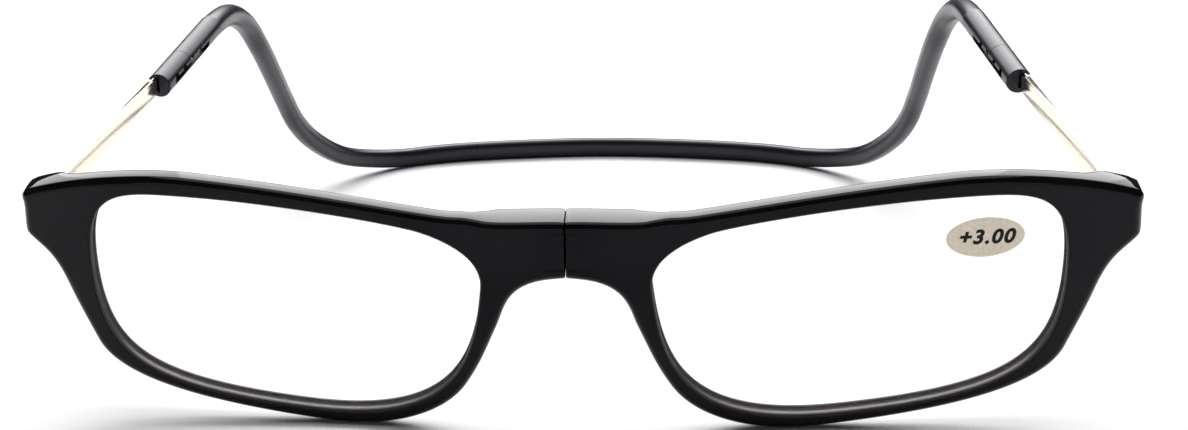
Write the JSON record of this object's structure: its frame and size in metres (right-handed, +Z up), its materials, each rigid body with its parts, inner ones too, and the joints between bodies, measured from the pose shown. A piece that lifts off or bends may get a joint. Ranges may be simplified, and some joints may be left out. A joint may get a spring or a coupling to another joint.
{
  "type": "reading glasses",
  "caption": "Reading glasses that part at a magnetic clasp on the nose bridge, with metal arms that slide in a one-piece neckband.",
  "frame": {"origin": "centre of the glasses' footprint on the table they stand on", "axes": "+X to the viewer's right across the front, +Y from the front to the back of the neckband, +Z up from the table"},
  "size_m": [0.14, 0.1591, 0.0434],
  "materials": {
    "frame": "polished black",
    "lens": "clear polished plastic",
    "sticker": "satin film",
    "magnet": "nickel plated",
    "cup": "drawn",
    "hinge": "turned",
    "arm": "polished, slightly warm",
    "click": "plain",
    "guide": "polished black",
    "neckband": "polished black"
  },
  "bodies": {
    "neckband": {"neckband": "neckband", "guide_left": "guide", "guide_right": "guide"},
    "arm_left": {"arm_left": "arm", "click_left": "click"},
    "arm_right": {"arm_right": "arm", "click_right": "click"},
    "front_left": {"front_left": "frame", "lens_left": "lens", "magnet_left": "magnet", "magnet_cup_left": "cup", "hinge_leaf_left": "hinge", "hinge_screw_left": "hinge"},
    "front_right": {"front_right": "frame", "lens_right": "lens", "magnet_right": "magnet", "magnet_cup_right": "cup", "hinge_leaf_right": "hinge", "hinge_screw_right": "hinge", "power_sticker": "sticker"}
  },
  "joints": [
    {"name": "arm_slide_left", "type": "slide", "parent": "neckband", "child": "arm_left", "axis": [-0.153, -0.9617, -0.2273], "range_m": [0, 0.0064]},
    {"name": "arm_slide_right", "type": "slide", "parent": "neckband", "child": "arm_right", "axis": [0.153, -0.9617, -0.2273], "range_m": [0, 0.0064]},
    {"name": "fold_left", "type": "hinge", "parent": "arm_left", "child": "front_left", "pos_m": [-0.0669, -0.068, 0.02772], "axis": [0, -0.23, 0.9732], "range_deg": [-5, 80]},
    {"name": "fold_right", "type": "hinge", "parent": "arm_right", "child": "front_right", "pos_m": [0.0669, -0.068, 0.02772], "axis": [0, 0.23, -0.9732], "range_deg": [-5, 80]}
  ]
}
